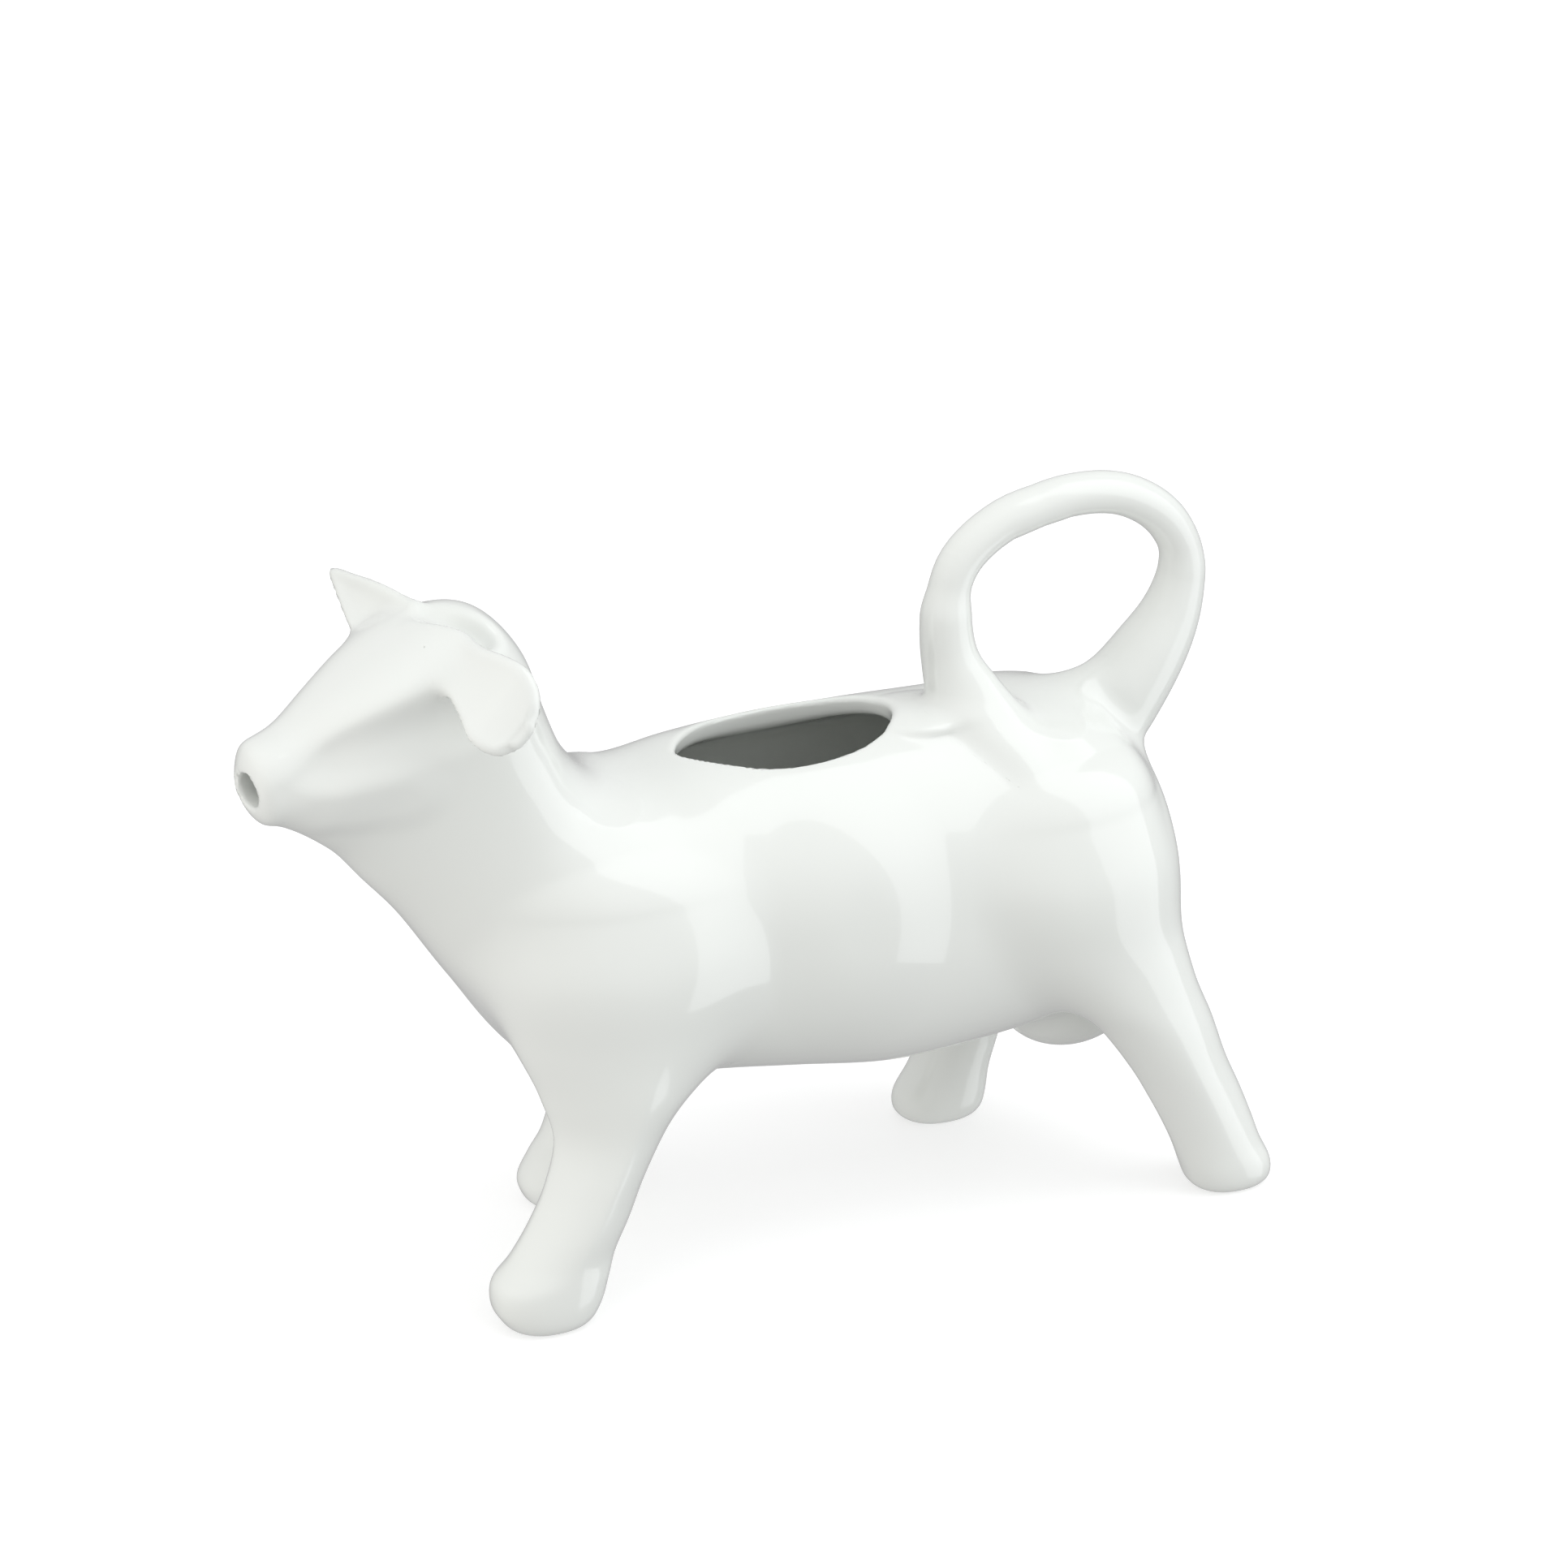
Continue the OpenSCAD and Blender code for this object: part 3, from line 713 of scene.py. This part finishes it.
def opening_field(p):
    """The filling opening: an oval, a little pointed in front."""
    along = (p[:, 0] - OPENING_CENTRE[0]) / OPENING_HALF[0]
    across = np.abs(p[:, 1] - OPENING_CENTRE[1]) / OPENING_HALF[1]
    squareness = 2 - OPENING_POINT * ease(-along)
    q = (np.abs(along) ** squareness + across ** squareness) ** (1 / squareness)
    return np.maximum((q - 1) * OPENING_HALF[1], OPENING_FLOOR - p[:, 2])


def hole_field(p):
    """The pouring hole, wider towards the muzzle's face."""
    way = HOLE_WAY / np.linalg.norm(HOLE_WAY)
    q = p - HOLE_TIP
    depth = q @ way
    off = np.sqrt(np.maximum(np.sum(q * q, 1) - depth * depth, 0))
    inward = np.clip(depth - HOLE_FLARE_START, *HOLE_FLARE_RANGE)
    radius = HOLE_RADIUS + HOLE_FLARE * np.exp(-inward / HOLE_FLARE_DEPTH)
    return np.maximum(off - radius, np.maximum(-depth - HOLE_BEFORE, depth - HOLE_BEHIND))


SPINE_LATTICE = Lattice(spine_rule, SPINE_SOFTENING)
LEGS = {
    "front_left_leg": Leg(FRONT_LEFT),
    "front_right_leg": Leg(FRONT_RIGHT),
    "rear_left_leg": Leg(REAR_LEFT),
    "rear_right_leg": Leg(REAR_RIGHT),
}
EARS = {"left_ear": Ear(LEFT_EAR, LEFT_EAR_HOLLOW), "right_ear": Ear(RIGHT_EAR, RIGHT_EAR_HOLLOW)}
TAIL = [Tube(TAIL_UP), Bar(TAIL_DOWN), Bar(TAIL_HEEL)]
CROUP_RIDGE = Tube(CROUP)


def tail_field(p):
    """The tail's loop, with its foot widened by the heel."""
    up, down, heel = (tube(p) for tube in TAIL)
    return np.minimum(up, blend(down, heel, TAIL_WEB))


def cow_field(p):
    """The whole cow, with its hollow, its opening and its pouring hole."""
    spine = spine_field(p)
    f = spine - swelling(p)
    for leg in LEGS.values():
        f = blend(f, leg(p), LEG_BLEND)
    f = blend(f, ellipsoid(p, *UDDER), UDDER_BLEND)
    f = blend(f, ellipsoid(p, *PAD), PAD_BLEND)
    f = blend(f, CROUP_RIDGE(p), CROUP_BLEND)
    to_root = ease((p[:, 0] - TAIL_ROOT_START) / TAIL_ROOT_LENGTH)
    f = blend(f, tail_field(p), TAIL_BLEND + TAIL_ROOT_BLEND * to_root)
    for ear in EARS.values():
        f = blend(f, ear(p), EAR_BLEND)
    f = cut(f, rod(p, *EAR_POCKET, EAR_POCKET_RADIUS), EAR_POCKET_EDGE)
    into_head = np.clip((HEAD_WALL_START - p[:, 0]) / HEAD_WALL_LENGTH, 0, 1)
    wall = WALL + HEAD_WALL_GROWTH * into_head
    f = cut(f, spine + wall, HOLLOW_ROUNDING)
    f = cut(f, opening_field(p), OPENING_ROUNDING)
    return cut(f, hole_field(p), HOLE_ROUNDING)


def in_chunks(field, points):
    """A field's values, worked out for so many points at a time."""
    return np.concatenate([field(points[i:i + CHUNK]) for i in range(0, len(points), CHUNK)])


# Meshing

def surface(field, low, high, step):
    """Quads on the field's zero surface: one point per grid cell that the surface passes through."""
    wide = step * COARSE
    cells = np.ceil((np.asarray(high) - low) / wide).astype(int)
    axes = [low[k] + wide * np.arange(cells[k] + 1) for k in range(3)]
    grid = np.stack(np.meshgrid(*axes, indexing="ij"), -1)
    rough = in_chunks(field, grid.reshape(-1, 3)).reshape(grid.shape[:3])
    near = np.zeros(cells, bool)
    for a, b, c in CORNERS:
        corner = rough[a:a + cells[0], b:b + cells[1], c:c + cells[2]]
        near |= np.abs(corner) < wide * NEAR_CELLS
    fine = cells * COARSE + 1
    values = rough
    for k in range(3):
        values = np.repeat(values, COARSE, axis=k)
    values = values[:fine[0], :fine[1], :fine[2]].copy()
    wanted = np.zeros(fine, bool)
    span = np.arange(COARSE + 1)
    offsets = np.stack(np.meshgrid(span, span, span, indexing="ij"), -1).reshape(-1, 3)
    spots = (np.argwhere(near)[:, None] * COARSE + offsets).reshape(-1, 3)
    wanted[tuple(spots.T)] = True
    wanted = np.argwhere(wanted)
    values[tuple(wanted.T)] = in_chunks(field, low + wanted * step)
    return net(values, low, step)


def fill_diagonals(inside):
    """Fills each grid face where two corners inside meet only across its diagonal."""
    found = True
    while found:
        found = False
        for i, j in ((0, 1), (1, 2), (2, 0)):
            views = []
            for a, b in ((0, 0), (1, 0), (1, 1), (0, 1)):
                part = [slice(None)] * 3
                part[i] = slice(a, inside.shape[i] - 1 + a)
                part[j] = slice(b, inside.shape[j] - 1 + b)
                views.append(inside[tuple(part)])
            unclear = (views[0] == views[2]) & (views[1] == views[3]) & (views[0] != views[1])
            found |= bool(unclear.any())
            for view in views:
                view |= unclear


def net(values, low, step):
    """One point per cell of the grid that the surface passes through, and quads between them."""
    inside = values < 0
    fill_diagonals(inside)
    values[inside & (values >= 0)] = -JUST_INSIDE * step
    size = np.array(inside.shape) - 1
    count = np.zeros(size, np.uint8)
    for a, b, c in CORNERS:
        count += inside[a:a + size[0], b:b + size[1], c:c + size[2]]
    active = np.argwhere((count > 0) & (count < 8))
    number = -np.ones(size, np.int64)
    number[tuple(active.T)] = np.arange(len(active))
    total, crossings = np.zeros((len(active), 3)), np.zeros(len(active))
    for corner in CORNERS:
        for k in range(3):
            if corner[k]:
                continue
            other = list(corner)
            other[k] = 1
            a = values[tuple((active + corner).T)]
            b = values[tuple((active + other).T)]
            crossed = (a < 0) != (b < 0)
            place = np.array(corner, float) + np.zeros((len(active), 3))
            place[:, k] += a / np.where(crossed, a - b, 1)
            total += np.where(crossed[:, None], place, 0)
            crossings += crossed
    verts = low + (active + total / crossings[:, None]) * step
    quads = []
    for k in range(3):
        i, j = (k + 1) % 3, (k + 2) % 3
        first = [slice(None)] * 3
        second = [slice(None)] * 3
        first[k], second[k] = slice(0, -1), slice(1, None)
        edges = np.argwhere(inside[tuple(first)] != inside[tuple(second)])
        for m in (i, j):
            edges = edges[(edges[:, m] > 0) & (edges[:, m] < size[m])]
        outward = inside[tuple(edges.T)]
        ring = []
        for di, dj in ((-1, -1), (0, -1), (0, 0), (-1, 0)):
            cell = edges.copy()
            cell[:, i] += di
            cell[:, j] += dj
            ring.append(number[tuple(cell.T)])
        ring = np.stack(ring, 1)
        ring[~outward] = ring[~outward][:, ::-1]
        quads.append(ring)
    return verts, np.vstack(quads)


def slope(field, points, step):
    """How a field rises along x, y and z."""
    g = np.empty_like(points)
    for k in range(3):
        d = np.zeros(3)
        d[k] = step
        g[:, k] = (in_chunks(field, points + d) - in_chunks(field, points - d)) / (2 * step)
    return g


def settle(field, verts):
    """Moves each point straight onto the surface."""
    g = slope(field, verts, SETTLE_STEP)
    move = (in_chunks(field, verts) / np.maximum(np.sum(g * g, 1), LEAST_STEEPNESS))[:, None] * g
    length = np.linalg.norm(move, axis=1)
    return verts - move * np.minimum(1, SETTLE_CAP / np.maximum(length, TINY))[:, None]


def relax(field, verts, quads):
    """Evens the quads out along the surface."""
    for _ in range(RELAX_ROUNDS):
        total, count = np.zeros_like(verts), np.zeros(len(verts))
        for k in range(4):
            for other in (quads[:, (k + 1) % 4], quads[:, k - 1]):
                for axis in range(3):
                    total[:, axis] += np.bincount(quads[:, k], verts[other, axis], len(verts))
                count += np.bincount(quads[:, k], minlength=len(verts))
        verts = settle(field, verts + RELAX_SHARE * (total / count[:, None] - verts))
    return settle(field, verts)


def new_object(name, verts, faces):
    """An object with a mesh of its own, from points in the drawing."""
    mesh = bpy.data.meshes.new(name)
    mesh.from_pydata(((np.asarray(verts) - ORIGIN) * MM).tolist(), [], np.asarray(faces).tolist())
    mesh.update()
    obj = bpy.data.objects.new(name, mesh)
    bpy.context.scene.collection.objects.link(obj)
    return obj


# Parting the whole into its castings

def boolean(obj, cutter, operation):
    """The mesh that is left of an object after a Boolean with another."""
    modifier = obj.modifiers.new("part", "BOOLEAN")
    modifier.operation = operation
    modifier.solver = "MANIFOLD"
    modifier.object = cutter
    bpy.context.view_layer.update()
    evaluated = obj.evaluated_get(bpy.context.evaluated_depsgraph_get())
    mesh = bpy.data.meshes.new_from_object(evaluated)
    obj.modifiers.clear()
    return mesh


def remove(obj):
    """Deletes an object with its mesh."""
    mesh = obj.data
    bpy.data.objects.remove(obj)
    bpy.data.meshes.remove(mesh)


def cutter_field(field, margin):
    """The space round one casting, down to a little below the barrel's or the head's surface."""
    def space(p):
        return np.maximum(field(p) - margin, -JOIN_DEPTH - spine_field(p))
    return space


def closed(quads):
    """Whether each edge of a mesh lies between two faces."""
    edges = np.vstack([quads[:, [k, (k + 1) % 4]] for k in range(4)])
    return np.all(np.unique(np.sort(edges, 1), axis=0, return_counts=True)[1] == 2)


def cutter_for(name, field, margin, low, high):
    """A closed cutter. Where its grid leaves an edge with four faces, the grid is moved a little and
    tried again.
    """
    space = cutter_field(field, margin)
    for shift in CUTTER_SHIFTS:
        verts, quads = surface(space, low - shift, high + shift, CUTTER_STEP)
        if closed(quads):
            break
    return new_object(name + "_cutter", verts, quads)


def head_cutter():
    """A block in front of the neck seam."""
    x0, z0, x1, z1 = SPINE[NECK_SEAM][:4]
    up = np.array([x0 - x1, z0 - z1])
    up /= np.linalg.norm(up)
    ahead = np.array([-up[1], up[0]])
    middle = np.array([x0 + x1, z0 + z1]) / 2
    verts = []
    for y in (-BLOCK_WIDTH, BLOCK_WIDTH):
        for forward, upward in ((0, -1), (1, -1), (1, 1), (0, 1)):
            x, z = middle + ahead * BLOCK_LENGTH * forward + up * BLOCK_HEIGHT * upward
            verts.append((x, y, z))
    faces = [(3, 2, 1, 0), (4, 5, 6, 7), (5, 4, 0, 1), (6, 5, 1, 2), (7, 6, 2, 3), (4, 7, 3, 0)]
    return new_object("head_cutter", verts, faces)


def all_cutters():
    """The name of each casting but the barrel, with its cutter, in the order of parting."""
    cutters = []
    for name, ear in EARS.items():
        def outside_head(p, ear=ear):
            return np.maximum(ear(p), EAR_SEAM - np.abs(p[:, 1]))
        low, high = ear.low + EAR_INSET, ear.high - EAR_INSET
        cutters.append((name, cutter_for(name, outside_head, EAR_MARGIN, low, high)))
    cutters.append(("head_spout", head_cutter()))
    for name, leg in LEGS.items():
        def below_seam(p, leg=leg):
            return np.maximum(leg(p), p[:, 2] - LEG_SEAM)
        low, high = leg.low + LEG_INSET, leg.high - LEG_INSET
        cutters.append((name, cutter_for(name, below_seam, LEG_MARGIN, low, high)))

    def tail_and_croup(p):
        return np.minimum(tail_field(p), CROUP_RIDGE(p) + CROUP_LESS)

    low = np.min([tube.low for tube in TAIL], 0) + TAIL_INSET
    high = np.max([tube.high for tube in TAIL], 0) - TAIL_INSET
    cutters.append(("tail_handle", cutter_for("tail_handle", tail_and_croup, TAIL_MARGIN, low, high)))

    def udder(p):
        return ellipsoid(p, *UDDER)

    low, high = np.subtract(*UDDER) - UDDER_ROOM, np.add(*UDDER) + UDDER_ROOM
    cutters.append(("udder", cutter_for("udder", udder, UDDER_MARGIN, low, high)))
    return cutters


def drop_slivers(mesh):
    """Deletes the specks of mesh that a Boolean leaves where two surfaces graze each other."""
    work = bmesh.new()
    work.from_mesh(mesh)
    unseen = set(work.faces)
    specks = []
    while unseen:
        island = [unseen.pop()]
        for face in island:
            for edge in face.edges:
                for other in edge.link_faces:
                    if other in unseen:
                        unseen.remove(other)
                        island.append(other)
        if len(island) < SPECK_FACES:
            specks += island
    bmesh.ops.delete(work, geom=specks, context="FACES")
    work.to_mesh(mesh)
    work.free()


def read(collection, name, size, kind=float):
    """One value, or a row of them, for each item of a mesh's collection."""
    values = np.empty(len(collection) * size, kind)
    collection.foreach_get(name, values)
    return values.reshape(-1, size) if size > 1 else values


def glaze_normals(mesh):
    """Smooth normals from the field on the glazed surface, and flat ones on the hidden joins."""
    verts = read(mesh.vertices, "co", 3) / MM + ORIGIN
    middles = read(mesh.polygons, "center", 3) / MM + ORIGIN
    starts = read(mesh.polygons, "loop_start", 1, np.int64)
    totals = read(mesh.polygons, "loop_total", 1, np.int64)
    face = np.repeat(np.arange(len(totals)), totals)
    flat = read(mesh.polygons, "normal", 3)[face]
    slivers = read(mesh.polygons, "area", 1) / MM ** 2 < SLIVER_AREA
    smooth = slope(cow_field, verts, SLOPE_STEP)
    smooth /= np.maximum(np.linalg.norm(smooth, axis=1), TINY)[:, None]
    normals = smooth[read(mesh.loops, "vertex_index", 1, np.int64)]
    agreed = np.add.reduceat(np.sum(normals * flat, 1), starts) / totals
    outside = np.abs(in_chunks(cow_field, middles)) < GLAZE_DEPTH * GRID
    glazed = outside & ((agreed > GLAZE_AGREEMENT) | slivers)
    normals = np.where(glazed[face][:, None], normals, flat)
    mesh.shade_smooth()
    mesh.normals_split_custom_set(normals.tolist())


def build_castings():
    """Meshes the whole cow and parts it, and gives each casting by the name of its node."""
    verts, quads = surface(cow_field, LOW, HIGH, GRID)
    verts = relax(cow_field, verts, quads)
    body = new_object("body_shell_glazed", verts, quads)
    castings = {}
    for name, cutter in all_cutters():
        piece = bpy.data.objects.new(name + "_glazed", boolean(body, cutter, "INTERSECT"))
        bpy.context.scene.collection.objects.link(piece)
        old = body.data
        body.data = boolean(body, cutter, "DIFFERENCE")
        bpy.data.meshes.remove(old)
        remove(cutter)
        castings[name] = piece
    castings["body_shell"] = body
    for piece in castings.values():
        drop_slivers(piece.data)
    return castings


# Materials

def mix_tones(material, factor, tones):
    """Lets a shader's base colour change between two tones."""
    nodes, links = material.node_tree.nodes, material.node_tree.links
    tone = nodes.new("ShaderNodeMix")
    tone.data_type = "RGBA"
    tone.inputs["A"].default_value, tone.inputs["B"].default_value = tones
    links.new(factor, tone.inputs["Factor"])
    links.new(tone.outputs["Result"], nodes["Principled BSDF"].inputs["Base Color"])


def glaze_material():
    """A clear glossy glaze over white porcelain, a little uneven in tone, gloss and level."""
    material = bpy.data.materials.new("white_glaze")
    material.use_nodes = True
    nodes, links = material.node_tree.nodes, material.node_tree.links
    shader = nodes["Principled BSDF"]
    shader.inputs["IOR"].default_value = 1.5
    shader.inputs["Coat Weight"].default_value = 1.0
    shader.inputs["Coat Roughness"].default_value = 0.02
    place = nodes.new("ShaderNodeTexCoord")

    def noise(scale, detail):
        node = nodes.new("ShaderNodeTexNoise")
        node.inputs["Scale"].default_value = scale
        node.inputs["Detail"].default_value = detail
        links.new(place.outputs["Object"], node.inputs["Vector"])
        return node.outputs["Fac"]

    def spread(value, low, high):
        node = nodes.new("ShaderNodeMapRange")
        node.inputs["To Min"].default_value = low
        node.inputs["To Max"].default_value = high
        links.new(value, node.inputs["Value"])
        return node.outputs["Result"]

    mix_tones(material, noise(TONE_SCALE, 3), GLAZE_TONES)
    links.new(spread(noise(ROUGHNESS_SCALE, 2), *GLAZE_ROUGHNESS), shader.inputs["Roughness"])
    bump = nodes.new("ShaderNodeBump")
    bump.inputs["Strength"].default_value = WAVE_STRENGTH
    bump.inputs["Distance"].default_value = WAVE_HEIGHT
    links.new(noise(WAVE_SCALE, 1), bump.inputs["Height"])
    links.new(bump.outputs["Normal"], shader.inputs["Normal"])
    return material


def table_material():
    """A matt pale table top that lights itself a little, so that it stays white."""
    material = bpy.data.materials.new("pale_table")
    material.use_nodes = True
    nodes = material.node_tree.nodes
    shader = nodes["Principled BSDF"]
    shader.inputs["Roughness"].default_value = 0.6
    shader.inputs["Emission Color"].default_value = (1, 1, 1, 1)
    shader.inputs["Emission Strength"].default_value = 0.5
    noise = nodes.new("ShaderNodeTexNoise")
    noise.inputs["Scale"].default_value = TABLE_SCALE
    mix_tones(material, noise.outputs["Fac"], TABLE_TONES)
    return material


# Table, light and camera

def table():
    """The table, which shows to the camera but throws no light back at the cow."""
    corners = [(x * TABLE_REACH, y * TABLE_REACH, 0) for x, y in ((-1, -1), (1, -1), (1, 1), (-1, 1))]
    floor = new_object("table", corners, [(0, 1, 2, 3)])
    floor.data.materials.append(table_material())
    floor.visible_diffuse = False
    floor.visible_glossy = False
    floor.visible_shadow = False


def aim(obj, place, target):
    """Puts a camera or a light at a place, looking at a target, both in the drawing."""
    place, target = (Vector((np.asarray(v) - ORIGIN) * MM) for v in (place, target))
    turn = (target - place).to_track_quat("-Z", "Y").to_matrix().to_4x4()
    obj.matrix_world = Matrix.Translation(place) @ turn


def direction(azimuth, elevation):
    """The way from the cow to a place round it: azimuth 0 is in front of the left flank."""
    a, e = math.radians(azimuth), math.radians(elevation)
    return np.array([math.sin(a) * math.cos(e), -math.cos(a) * math.cos(e), math.sin(e)])


def camera():
    """The camera, at the photograph's angle."""
    data = bpy.data.cameras.new("camera")
    data.sensor_width = SENSOR
    data.lens = SENSOR * DISTANCE / FRAMED
    data.clip_start = NEAREST
    data.clip_end = FARTHEST
    obj = bpy.data.objects.new("camera", data)
    bpy.context.scene.collection.objects.link(obj)
    aim(obj, TARGET + direction(AZIMUTH, ELEVATION) * DISTANCE, TARGET)
    bpy.context.scene.camera = obj


def panel(name, azimuth, elevation, width, height, brightness, colour, mirrored):
    """A lit panel that faces the cow."""
    data = bpy.data.lights.new(name, "AREA")
    data.shape = "RECTANGLE"
    data.size = width * MM
    data.size_y = height * MM
    data.energy = brightness * math.pi * data.size * data.size_y
    data.color = colour
    obj = bpy.data.objects.new(name, data)
    bpy.context.scene.collection.objects.link(obj)
    aim(obj, LIT + direction(azimuth, elevation) * PANEL_DISTANCE, LIT)
    obj.visible_glossy = mirrored


def studio():
    """Light from all round, brighter from above than from below."""
    world = bpy.data.worlds.new("studio")
    world.use_nodes = True
    nodes, links = world.node_tree.nodes, world.node_tree.links
    place = nodes.new("ShaderNodeTexCoord")
    parts = nodes.new("ShaderNodeSeparateXYZ")
    links.new(place.outputs["Generated"], parts.inputs["Vector"])
    light = nodes.new("ShaderNodeMapRange")
    light.inputs["From Min"].default_value = -HORIZON
    light.inputs["From Max"].default_value = HORIZON
    light.inputs["To Min"].default_value = SKY_BELOW
    light.inputs["To Max"].default_value = SKY_ABOVE
    links.new(parts.outputs["Z"], light.inputs["Value"])
    links.new(light.outputs["Result"], nodes["Background"].inputs["Strength"])
    nodes["Background"].inputs["Color"].default_value = (1.0, 1.0, 1.0, 1)
    bpy.context.scene.world = world
    bpy.context.scene.view_settings.view_transform = "Standard"


studio()
for name, values in PANELS.items():
    panel(name, *values)
camera()
table()
glaze = glaze_material()
for node, piece in build_castings().items():
    glaze_normals(piece.data)
    piece.data.materials.clear()
    piece.data.materials.append(glaze)
    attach(piece, "root")
    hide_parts(node)
